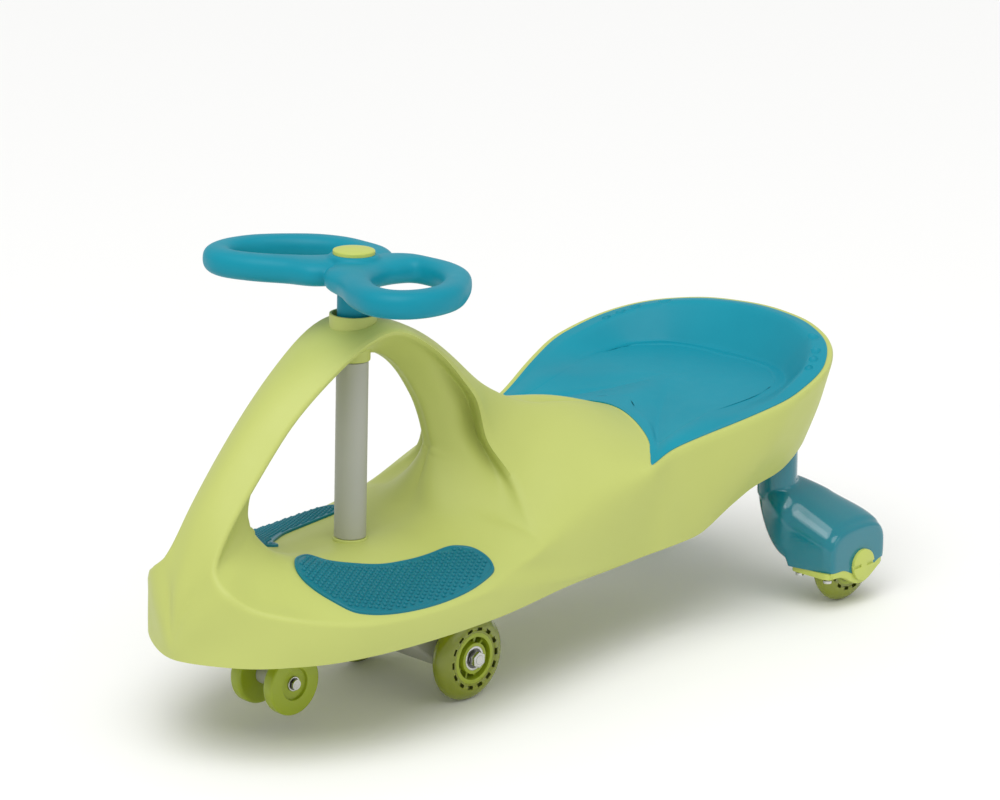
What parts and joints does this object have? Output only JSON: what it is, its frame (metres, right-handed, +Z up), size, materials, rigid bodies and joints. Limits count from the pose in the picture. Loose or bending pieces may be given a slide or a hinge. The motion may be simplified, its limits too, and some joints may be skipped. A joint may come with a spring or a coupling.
{
  "type": "wiggle car",
  "caption": "Low plastic ride-on wiggle car with a looped front arch, swinging steering wheel, bucket seat, studded foot pads and small rolling wheels.",
  "frame": {"origin": "middle of the car's length and width, on the ground", "axes": "+Z up, -Y to the nose, +X to the rider's left"},
  "size_m": [0.333, 0.756, 0.4102],
  "materials": {
    "lime_body": "satin blow-moulded plastic",
    "teal_satin": "satin moulded plastic",
    "teal_gloss": "gloss moulded plastic",
    "grey_plastic": "matt moulded plastic",
    "lime_wheel": "semi-gloss moulded plastic",
    "clear_tyre": "translucent cast polyurethane",
    "steel": "bright zinc-plated steel"
  },
  "bodies": {
    "body": {"body_shell": "lime_body", "seat_cover": "teal_satin", "seat_screws": "steel", "foot_pad_left": "teal_satin", "foot_pad_right": "teal_satin", "upper_bush": "grey_plastic", "lower_bush": "grey_plastic", "rear_leg_left": "teal_gloss", "rear_leg_right": "teal_gloss", "rear_base_left": "lime_body", "rear_base_right": "lime_body", "rear_axle_left": "steel", "rear_axle_right": "steel", "rear_cap_left": "lime_body", "rear_cap_right": "lime_body", "leg_bolts": "steel", "base_screws": "steel"},
    "steering": {"steering_wheel": "teal_satin", "steering_cap": "lime_body", "steering_nut": "steel", "column_sleeve": "grey_plastic", "steering_shaft": "steel", "steering_yoke": "grey_plastic", "yoke_pin": "steel", "thrust_washer": "steel", "front_axle": "steel", "front_axle_nuts": "steel", "tip_axle": "steel", "tip_axle_clips": "steel"},
    "front_left_wheel": {"front_left_tyre": "clear_tyre", "front_left_hub": "lime_wheel", "front_left_bearings": "steel", "front_left_spacer": "steel"},
    "front_right_wheel": {"front_right_tyre": "clear_tyre", "front_right_hub": "lime_wheel", "front_right_bearings": "steel", "front_right_spacer": "steel"},
    "rear_left_wheel": {"rear_left_tyre": "clear_tyre", "rear_left_hub": "lime_wheel", "rear_left_bearings": "steel", "rear_left_spacer": "steel"},
    "rear_right_wheel": {"rear_right_tyre": "clear_tyre", "rear_right_hub": "lime_wheel", "rear_right_bearings": "steel", "rear_right_spacer": "steel"},
    "tip_left": {"tip_wheel_left": "lime_wheel", "tip_bearing_left": "steel"},
    "tip_right": {"tip_wheel_right": "lime_wheel", "tip_bearing_right": "steel"}
  },
  "joints": [
    {"name": "steering_turn", "type": "hinge", "parent": "body", "child": "steering", "pos_m": [0, -0.175, 0.1491], "axis": [0, 0.0349, 0.9994], "continuous": true},
    {"name": "front_left_spin", "type": "hinge", "parent": "steering", "child": "front_left_wheel", "pos_m": [0.0678, -0.0995, 0.04], "axis": [1, 0, 0], "continuous": true},
    {"name": "front_right_spin", "type": "hinge", "parent": "steering", "child": "front_right_wheel", "pos_m": [-0.0678, -0.0995, 0.04], "axis": [1, 0, 0], "continuous": true},
    {"name": "rear_left_spin", "type": "hinge", "parent": "body", "child": "rear_left_wheel", "pos_m": [0.14005, 0.33464, 0.04], "axis": [1, 0, 0], "continuous": true},
    {"name": "rear_right_spin", "type": "hinge", "parent": "body", "child": "rear_right_wheel", "pos_m": [-0.14005, 0.33464, 0.04], "axis": [1, 0, 0], "continuous": true},
    {"name": "tip_left_spin", "type": "hinge", "parent": "steering", "child": "tip_left", "pos_m": [0.0204, -0.266, 0.048], "axis": [1, 0, 0], "continuous": true},
    {"name": "tip_right_spin", "type": "hinge", "parent": "steering", "child": "tip_right", "pos_m": [-0.0204, -0.266, 0.048], "axis": [1, 0, 0], "continuous": true}
  ]
}
